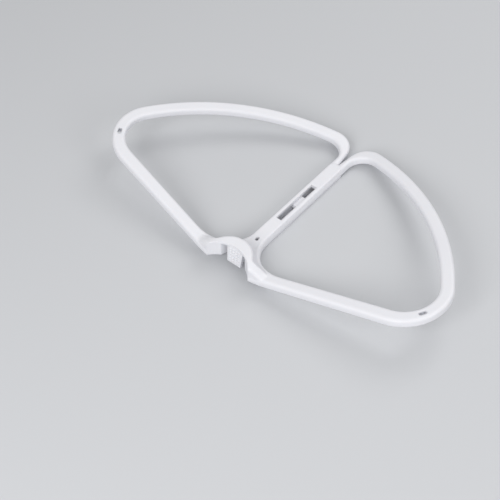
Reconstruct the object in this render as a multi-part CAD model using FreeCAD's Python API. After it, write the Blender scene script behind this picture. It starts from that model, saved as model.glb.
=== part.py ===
# Propeller guard for a four-rotor camera drone, moulded in one piece of white plastic.
# Units are millimetres. The part is drawn with the motor axis on z and the spine outward along +y,
# the same left and right of x = 0, with the underside of the spine on z = 0.
import FreeCAD, Part
import math
import os

V = FreeCAD.Vector

# Rails of the two loops
rail_width = 8.6          # across a strut, seen from above
curve_width = 8.2         # across the long curve
rail_height = 6.0         # upper face to underside
rail_round = 2.1          # rounding of the upper edges
rail_round_low = 2.1      # rounding of the lower edges
loop_tilt = 10.0          # degrees each loop rises away from the spine
loop_top = 6.9            # height of a loop's upper face over the middle of the spine

# Loop outline in its own tilted plane, given on the rail's centre line
arc_radius = 165.7        # long outer curve
arc_x = -22.6             # its centre, across
arc_y = -14.4             # its centre, along
strut_angle = 79.2        # degrees between a strut and the spine
strut_y = 12.7            # where the strut's line crosses the spine
strut_taper = 1.0         # the strut's motor side comes in by this at the collar
corner_radius = 24.5      # bend from the strut into the long curve
tip_round = 13.0          # outer corner beside the cleft
tip_round_in = 11.0       # the same corner inside the loop
web_radius = 23.5         # inside the loop, between strut and spine
cleft_depth = 25.0        # from the long curves' outer edge down to the bottom of the cleft
cleft_angle = 8.0         # degrees each side of the cleft leans outward

# Spine
spine_half = 4.6          # half of its width
spine_top = 7.5           # height of its flat upper face
spine_round = 0.9
spine_skin = 2.8          # wall left above the channel in its underside
spine_wall = 1.9          # wall left beside that channel
channel_from = 34.0       # where the channel starts and ends along the spine
channel_to = 116.0
slot_width = 4.0
slot_from = 63.1          # the long slot through the skin starts and ends here
slot_to = 100.3
rib_from = 80.4           # a rib crosses the channel under the slot
rib_to = 90.1
rib_low_z = 2.0
eye_y = 41.4              # small eye beside the collar
eye_length = 3.2
eye_width = 2.0

# Slots through the outer corners, each over a recess in the rail's underside
corner_slot_length = 5.0
corner_slot_width = 2.5
corner_slot_at = -32.0    # degrees around the bend, from straight across
corner_skin = 1.4         # wall left above the recess
recess_length = 8.0
recess_width = 4.6

# Collar that bears against the motor foot
bore_radius = 20.3        # open mouth of the collar
collar_back = ((0, 12.3), (6.3, 9.7), (9.5, 6.9), (12.2, 3.7))   # across, and beyond the struts' back
collar_round = 2.0        # rounding of its upper edges
collar_top = 18.3
collar_base = 6.0
crest_half = 9.0          # its top is level as far as this
shoulder_x = 29.0         # the shoulders have run down onto the struts here
shoulder_inset = 0.4      # the shoulders are narrower than the struts by this on each side
shoulder_from = 16.0      # the shoulders' outer sides start here
pocket_half = 9.8         # hollow behind the finger tab, half width at the mouth
pocket_back_half = 7.0    # and at its back
pocket_front_y = 17.0
pocket_back_y = 25.9
pocket_skin = 2.0         # roof left above the hollow

# Finger tab
tab_half_top = 6.2
tab_half_low = 5.1
tab_low_z = 3.9
tab_thick = 2.0
tab_lean = 7.5            # degrees, the lower end stands towards the mouth
pip_ball = 1.0            # radius of the ball each grip pip is cut from
pip_height = 0.5
pip_columns = 4
pip_rows = 5
pip_pitch = 2.3

half = rail_width / 2.0
outer_radius = arc_radius + curve_width / 2.0
notch_y = arc_y + math.sqrt(outer_radius ** 2 - arc_x ** 2) - cleft_depth
tilt = math.radians(loop_tilt)
lean = math.radians(cleft_angle)
turn = math.radians(strut_angle)
curve_centre = V(arc_x, arc_y, 0)
strut_dir = V(math.sin(turn), math.cos(turn), 0)
strut_out = V(-math.cos(turn), math.sin(turn), 0)


def prism(points, z0, z1):
    """Upright block over a closed polygon given as (x, y) pairs."""
    ring = [V(x, y, z0) for x, y in points]
    return Part.Face(Part.makePolygon(ring + ring[:1])).extrude(V(0, 0, z1 - z0))


def beside_strut(offset, along):
    """Point on a line parallel to the strut, offset away from the motor."""
    return V(0, strut_y, 0) + strut_out * offset + strut_dir * along


def beside_strut_at(offset, x):
    """Point at x on that line."""
    return beside_strut(offset, (x - strut_out.x * offset) / strut_dir.x)


def meet_curve(start, direction, radius):
    """Where a line running outward meets a circle about the long curve's centre."""
    rel = start - curve_centre
    b = rel.dot(direction)
    return start + direction * (math.sqrt(b * b - rel.dot(rel) + radius * radius) - b)


def loop_block(chain, side_dir, arm_dir, radius):
    """Flat block between a side near the spine, a strut side and the long curve.
    The chain lists (corner, rounding) from the spine side to the strut."""
    p1 = meet_curve(chain[-1][0], arm_dir, radius)
    p2 = meet_curve(chain[0][0], side_dir, radius)
    middle = (p1 + p2) * 0.5 - curve_centre
    middle = curve_centre + middle * (radius / middle.Length)
    edges = [Part.Arc(p1, middle, p2).toShape()]
    at = p2
    for (corner, bend), after in zip(chain, [c for c, r in chain[1:]] + [p1]):
        back, on = (at - corner).normalize(), (after - corner).normalize()
        opening_angle = back.getAngle(on) / 2
        trim = bend / math.tan(opening_angle)
        top = (back + on).normalize() * (bend / math.sin(opening_angle) - bend)
        edges.append(Part.LineSegment(at, corner + back * trim).toShape())
        edges.append(Part.Arc(corner + back * trim, corner + top, corner + on * trim).toShape())
        at = corner + on * trim
    edges.append(Part.LineSegment(at, p1).toShape())
    return Part.Face(Part.Wire(edges)).extrude(V(0, 0, rail_height)), p1, p2


def round_upright(block, point, radius):
    """Round the upright edge that stands on a point."""
    edge = [e for e in block.Edges
            if all(math.hypot(v.X - point.x, v.Y - point.y) < 0.01 for v in e.Vertexes)]
    return block.makeFillet(radius, edge)


def rim(block, z):
    """Level edges at height z."""
    return [e for e in block.Edges
            if abs(e.BoundBox.ZMin - z) < 1e-4 and abs(e.BoundBox.ZMax - z) < 1e-4]


# One loop, drawn flat: its outer block reaches a little over the middle of the spine
cleft_dir = V(math.sin(lean), math.cos(lean), 0)
side_x = spine_half - rail_width
cleft_foot = V(side_x, notch_y + side_x / math.tan(lean), 0)
near = beside_strut(strut_taper - half, 0)
near_dir = (beside_strut(-half, 100) - near).normalize()
heel = near + near_dir * ((side_x - near.x) / near_dir.x)
outer, far_end, tip_end = loop_block([(cleft_foot, 80.0), (heel, 3.5)], cleft_dir,
                                     near_dir, outer_radius)
outer = round_upright(outer, far_end, corner_radius + half)
outer = round_upright(outer, tip_end, tip_round)

# Its opening, then the rounding of every rim
root = beside_strut_at(half, spine_half)
opening, far_end, tip_end = loop_block([(root, web_radius)], V(0, 1, 0), strut_dir,
                                       arc_radius - curve_width / 2)
opening = round_upright(opening, far_end, corner_radius - half)
opening = round_upright(opening, tip_end, tip_round_in)

# The rail is narrowest beside the cleft, which limits the rounding of its edges
narrow_y = tip_end.y - tip_round_in
narrow_wall = spine_half - max(0.0, narrow_y - notch_y) * math.tan(lean)
round_top = min(rail_round, 0.48 * narrow_wall)
round_low = min(rail_round_low, 0.48 * narrow_wall, rail_height - round_top - 0.2)
loop = outer.cut(opening)
loop = loop.makeFillet(round_top, rim(loop, rail_height))
loop = loop.makeFillet(round_low, rim(loop, 0.0))

# Short slot through the outer corner, laid along the bend, and the recess under it
base = beside_strut(corner_radius, 0) - curve_centre
b = base.dot(strut_dir)
along = math.sqrt(b * b - base.dot(base) + (arc_radius - corner_radius) ** 2) - b
bend_centre = beside_strut(corner_radius, along)
spoke = V(math.cos(math.radians(corner_slot_at)), math.sin(math.radians(corner_slot_at)), 0)
for width, length, high in ((corner_slot_width, corner_slot_length, rail_height + 1),
                            (recess_width, recess_length, rail_height - corner_skin)):
    slot = Part.makeBox(width, length, high + 1, V(-width / 2, -length / 2, -1))
    slot = slot.makeFillet(0.45 * min(width, length), [e for e in slot.Edges if e.BoundBox.ZLength > high])
    slot.rotate(V(0, 0, 0), V(0, 0, 1), corner_slot_at)
    slot.translate(bend_centre + spoke * corner_radius)
    loop = loop.cut(slot)

# Tilt the loop about the line where its upper face meets the middle of the spine, and end it there
loop.translate(V(0, 0, loop_top - rail_height))
loop.rotate(V(0, 0, loop_top), V(0, 1, 0), -loop_tilt)
loop = loop.common(Part.makeBox(400, 400, 200, V(0, -100, -100)))
other_loop = loop.mirror(V(0, 0, 0), V(1, 0, 0))

# Spine: a flat bar that ends short of the cleft
spine_end = notch_y - 2.5
spine = prism([(-spine_half, pocket_back_y), (spine_half, pocket_back_y), (spine_half, spine_end - 2.5),
               (spine_half / 2, spine_end), (-spine_half / 2, spine_end), (-spine_half, spine_end - 2.5)],
              0, spine_top)
spine = spine.makeFillet(spine_round, [e for e in spine.Edges if e.BoundBox.ZMin > spine_top - 1e-4])

# Collar with shoulders that run down onto the struts, seen from the front; the mouth's cut
# takes away what lies inside inner_x
inner_x = 0.75 * bore_radius
end_z = loop_top + math.tan(tilt) * shoulder_x - 0.4
crest = [V(-crest_half, 0, collar_top), V(crest_half, 0, collar_top)]
slope = Part.BSplineCurve()
slope.interpolate(Points=[crest[1], V(14.0, 0, collar_top - 0.5), V(18.5, 0, collar_top - 2.4),
                          V(23.0, 0, end_z + 1.2), V(shoulder_x, 0, end_z)],
                  InitialTangent=V(1, 0, 0), FinalTangent=V(1, 0, 0.1))
slope = slope.toShape()
feet = [V(shoulder_x, 0, end_z), V(shoulder_x, 0, end_z - rail_height / 3), V(inner_x, 0, collar_base),
        V(-inner_x, 0, collar_base), V(-shoulder_x, 0, end_z - rail_height / 3), V(-shoulder_x, 0, end_z)]
edges = [Part.LineSegment(crest[0], crest[1]).toShape(), slope]
edges += [Part.LineSegment(p, q).toShape() for p, q in zip(feet[:-1], feet[1:])]
edges.append(slope.mirror(V(0, 0, 0), V(1, 0, 0)))
front_view = Part.Face(Part.Wire(Part.__sortEdges__(edges))).extrude(V(0, 60, 0))

# The collar from above: a spline behind the mouth that runs into the sides of the struts
side = half - shoulder_inset
back_from, back_to = beside_strut_at(side, shoulder_from), beside_strut_at(side, shoulder_x)
front_from, front_to = [near + near_dir * ((x - near.x) / near_dir.x) + strut_out * shoulder_inset
                        for x in (inner_x, shoulder_x)]
right_half = [back_from, back_to, front_to, front_from, V(inner_x, 0, 0)]
ring = right_half + [V(-p.x, p.y, 0) for p in reversed(right_half)]
behind = [back_from] + [beside_strut_at(side, x) + V(0, beyond, 0) for x, beyond in reversed(collar_back)]
back = Part.BSplineCurve()
back.interpolate(Points=behind + [V(-p.x, p.y, 0) for p in reversed(behind[:-1])],
                 InitialTangent=-strut_dir, FinalTangent=V(-strut_dir.x, strut_dir.y, 0))
edges = [Part.LineSegment(p, q).toShape() for p, q in zip(ring[:-1], ring[1:])]
plan = Part.Face(Part.Wire(Part.__sortEdges__(edges + [back.toShape()]))).extrude(V(0, 0, 40))
collar = plan.common(front_view)
upper = []
for edge in collar.Edges:
    at = edge.valueAt((edge.FirstParameter + edge.LastParameter) / 2)
    seam = abs(abs(at.x) - crest_half) < 0.01 and edge.BoundBox.YLength > 12
    across = seam or at.y < 1 or abs(abs(at.x) - shoulder_x) < 0.05
    if edge.BoundBox.ZMin > end_z - 0.5 and not across:
        upper.append(edge)
span = back.LastParameter - back.FirstParameter
samples = 200
sharpest = max(back.curvature(back.FirstParameter + span * i / samples) for i in range(samples + 1))
collar = collar.makeFillet(min(collar_round, 0.98 / sharpest), upper)

body = loop.fuse(other_loop).fuse(spine).fuse(collar)

# Mouth for the motor foot, level underside beside it and the hollow behind the tab
mouth = Part.makeCylinder(bore_radius, 60, V(0, 0, -10))
under = Part.makeBox(60, pocket_back_y + 10, collar_base + 10, V(-30, -10, -10))
pocket = prism([(-pocket_half, pocket_front_y), (pocket_half, pocket_front_y),
                (pocket_back_half, pocket_back_y), (-pocket_back_half, pocket_back_y)],
               -5, collar_top - pocket_skin)
body = body.cut(mouth).cut(under).cut(pocket)

# Hollow underside of the spine, the long slot and the eye, then the rib under the slot
channel_half = spine_half - spine_wall
cuts = [Part.makeBox(2 * channel_half, channel_to - channel_from, spine_top - spine_skin,
                     V(-channel_half, channel_from, 0))]
cuts.append(Part.makeBox(slot_width, slot_to - slot_from, 20, V(-slot_width / 2, slot_from, -5)))
eye = Part.makeBox(eye_width, eye_length, 20, V(-eye_width / 2, eye_y - eye_length / 2, -5))
cuts.append(eye.makeFillet(0.8, [e for e in eye.Edges if e.BoundBox.ZLength > 19]))
for tool in cuts:
    body = body.cut(tool)
rib_half = channel_half + spine_wall / 2
body = body.fuse(Part.makeBox(2 * rib_half, rib_to - rib_from, spine_top - spine_skin - rib_low_z,
                              V(-rib_half, rib_from, rib_low_z)))

# Finger tab hanging in the mouth, with its field of grip pips
tab_top_z = collar_top - 0.9
ring = [V(-tab_half_top, 0, tab_top_z), V(tab_half_top, 0, tab_top_z),
        V(tab_half_low, 0, tab_low_z), V(-tab_half_low, 0, tab_low_z)]
tab = Part.Face(Part.makePolygon(ring + ring[:1])).extrude(V(0, tab_thick, 0))
pips = []
for row in range(pip_rows):
    for column in range(pip_columns):
        pips.append(Part.makeSphere(pip_ball, V((column - (pip_columns - 1) / 2.0) * pip_pitch,
                                                pip_ball - pip_height,
                                                tab_low_z + 1.9 + row * pip_pitch)))
tab = tab.fuse(pips)
tab.rotate(V(0, 0, tab_top_z), V(1, 0, 0), -tab_lean)
tab.translate(V(0, bore_radius, 0))
guard = body.fuse(tab).removeSplitter().Solids[0]

# The origin goes to the middle of the outline, level with the underside of the spine
box = guard.optimalBoundingBox(False)
guard.translate(V(0, -(box.YMin + box.YMax) / 2, 0))

os.makedirs("parts", exist_ok=True)
guard.exportStep("parts/propeller_guard.step")
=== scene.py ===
import math

import bpy
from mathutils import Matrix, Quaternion, Vector

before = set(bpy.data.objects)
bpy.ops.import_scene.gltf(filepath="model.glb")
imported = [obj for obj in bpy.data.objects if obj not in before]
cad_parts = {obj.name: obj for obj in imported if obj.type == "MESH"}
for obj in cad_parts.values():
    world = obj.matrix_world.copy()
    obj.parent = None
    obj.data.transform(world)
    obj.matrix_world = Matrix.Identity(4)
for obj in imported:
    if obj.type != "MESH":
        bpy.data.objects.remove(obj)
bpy.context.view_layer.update()        # the guard as packed, in metres, its spine along +Y and its underside on z = 0


# The guard: one injection moulding of tough white plastic, looped rails, spine, collar and tab together.
# Its skin is smooth from a polished mould, a little cloudy inside, with a faint unevenness where the
# thick plastic shrank as it cooled. The mould leaves its corners and edges slightly rounded.
plastic_white = (0.80, 0.80, 0.83)
plastic_deep = (0.755, 0.757, 0.80)       # where the plastic is thicker it looks a little cooler
plastic_ior = 1.49
plastic_glow = 0.12                       # share of light that enters the skin and comes out again
glow_depth = 0.0015                       # how far it travels inside
glow_tint = (1.0, 0.9, 0.85)
sheen_cloud = 34.0                        # cloudiness, turns per metre
skin_grain = 2600.0                       # fine grain of the mould, turns per metre
shrink_wave = 95.0                        # broad waviness of the surface, turns per metre
skin_rough = 0.37                         # roughness of the clearest plastic
rough_by_cloud, rough_by_grain = 0.10, 0.06
skin_depth, skin_strength = 0.0002, 0.25  # height of the unevenness, and how much of it shows
wave_share, grain_share = 0.8, 0.05
edge_softness = 0.0012                    # radius left by the mould in corners and on edges
tab_half, tab_reach = 0.0068, 0.0035      # the tab's pips stay crisp: half its width, half its depth
tab_y, tab_top = -0.0620, 0.0165          # its place along the spine and its height


class Value:
    """A node's output, so that shader maths reads as plain sums."""

    def __init__(self, nodes, socket):
        self.nodes, self.socket = nodes, socket

    def other(self, kind, settings, given):
        """Any other node: its type, its settings, then the values or links of its sockets."""
        node = self.nodes.new(kind)
        for name, setting in settings.items():
            setattr(node, name, setting)
        for key, value in given.items():
            if isinstance(value, Value):
                self.nodes.id_data.links.new(value.socket, node.inputs[key])
            else:
                node.inputs[key].default_value = value
        return node

    def maths(self, operation, *given):
        node = self.other("ShaderNodeMath", {"operation": operation}, dict(enumerate(given)))
        return Value(self.nodes, node.outputs[0])

    def __add__(self, other):
        return self.maths("ADD", self, other)

    def __mul__(self, other):
        return self.maths("MULTIPLY", self, other)

    __radd__, __rmul__ = __add__, __mul__


def moulded_plastic():
    material = bpy.data.materials.new("white_moulded_plastic")
    material.use_nodes = True
    nodes, links = material.node_tree.nodes, material.node_tree.links
    shader = nodes["Principled BSDF"]
    place = Value(nodes, nodes.new("ShaderNodeTexCoord").outputs["Object"])

    def noise(scale, detail):
        node = place.other("ShaderNodeTexNoise", {}, {"Vector": place, "Scale": scale, "Detail": detail})
        return Value(nodes, node.outputs["Fac"])

    # Colour and sheen vary with the cloudiness inside
    cloud, grain, wave = noise(sheen_cloud, 3.0), noise(skin_grain, 2.0), noise(shrink_wave, 1.0)
    colour = place.other("ShaderNodeMix", {"data_type": "RGBA"},
                         {0: cloud, 6: (*plastic_white, 1.0), 7: (*plastic_deep, 1.0)})
    links.new(colour.outputs[2], shader.inputs["Base Color"])
    rough = skin_rough + cloud * rough_by_cloud + grain * rough_by_grain
    links.new(rough.socket, shader.inputs["Roughness"])

    # Edges and corners are soft everywhere but on the tab
    split = place.other("ShaderNodeSeparateXYZ", {}, {"Vector": place})
    across, along, up = [Value(nodes, output) for output in split.outputs]
    beside = across.maths("COMPARE", across, 0.0, tab_half) * along.maths("COMPARE", along, tab_y, tab_reach)
    on_tab = beside * up.maths("LESS_THAN", up, tab_top)
    crisp = Value(nodes, nodes.new("ShaderNodeNewGeometry").outputs["Normal"])
    soft = Value(nodes, place.other("ShaderNodeBevel", {"samples": 8}, {"Radius": edge_softness}).outputs[0])
    edges = place.other("ShaderNodeMix", {"data_type": "VECTOR"}, {0: on_tab, 4: soft, 5: crisp})
    bump = place.other("ShaderNodeBump", {}, {
        "Height": wave * wave_share + grain * grain_share, "Strength": skin_strength, "Distance": skin_depth,
        "Normal": Value(nodes, edges.outputs[1])})
    links.new(bump.outputs[0], shader.inputs["Normal"])

    shader.inputs["IOR"].default_value = plastic_ior
    shader.inputs["Subsurface Weight"].default_value = plastic_glow
    shader.inputs["Subsurface Radius"].default_value = glow_tint
    shader.inputs["Subsurface Scale"].default_value = glow_depth
    return material


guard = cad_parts["propeller_guard"]
guard.data.materials.clear()
guard.data.materials.append(moulded_plastic())


# The studio: a pale table top, and soft lamps all round it, because white plastic shows its form best
# in light that leaves no hard shade. The strongest stands low in front of the motor end, one hangs
# behind the cleft, and a weak one lights the right-hand sides.
floor_colour = (0.57, 0.58, 0.60)
floor_rough = 0.7
floor_size = 5.0
room_light = 0.51                         # even light from the white walls of the studio
bpy.ops.mesh.primitive_plane_add(size=floor_size, location=(0, 0, 0))
floor = bpy.context.object
floor.name = "table_top"
floor_material = bpy.data.materials.new("pale_table")
floor_material.use_nodes = True
floor_shader = floor_material.node_tree.nodes["Principled BSDF"]
floor_shader.inputs["Base Color"].default_value = (*floor_colour, 1.0)
floor_shader.inputs["Roughness"].default_value = floor_rough
floor.data.materials.append(floor_material)


def soft_lamp(name, place, size, power):
    """Square lamp that looks at the guard."""
    lamp = bpy.data.lights.new(name, "AREA")
    lamp.shape, lamp.size, lamp.energy = "SQUARE", size, power
    holder = bpy.data.objects.new(name, lamp)
    bpy.context.scene.collection.objects.link(holder)
    holder.location = place
    holder.rotation_mode = "QUATERNION"
    holder.rotation_quaternion = (-Vector(place)).to_track_quat("-Z", "Y")


soft_lamp("back_lamp", (0.05, 0.62, 0.78), 0.6, 2.6)
soft_lamp("front_lamp", (0.12, -0.85, 0.62), 0.5, 5.1)
soft_lamp("side_lamp", (0.85, -0.12, 0.55), 0.4, 1.9)
world = bpy.data.worlds.new("studio")
world.use_nodes = True
world_shader = world.node_tree.nodes["Background"]
world_shader.inputs["Color"].default_value = (1.0, 1.0, 1.0, 1.0)
world_shader.inputs["Strength"].default_value = room_light
bpy.context.scene.world = world


# The camera: where the photographer stood, up and to the right of the motor end, with a long lens.
look_at = Vector((0.00164, -0.04918, 0.0059))
stand_off = 0.6440
azimuth, elevation = math.radians(39.57), math.radians(49.36)
roll = math.radians(0.149)
sensor_width, focal_length = 36.0, 74.79  # millimetres
camera_data = bpy.data.cameras.new("camera")
camera_data.sensor_width = sensor_width
camera_data.lens = focal_length
camera = bpy.data.objects.new("camera", camera_data)
bpy.context.scene.collection.objects.link(camera)
back = Vector((math.sin(azimuth) * math.cos(elevation), -math.cos(azimuth) * math.cos(elevation),
               math.sin(elevation)))
camera.location = look_at + back * stand_off
camera.rotation_mode = "QUATERNION"
camera.rotation_quaternion = Quaternion(back, -roll) @ (-back).to_track_quat("-Z", "Y")
bpy.context.scene.camera = camera
bpy.context.scene.view_settings.view_transform = "Standard"
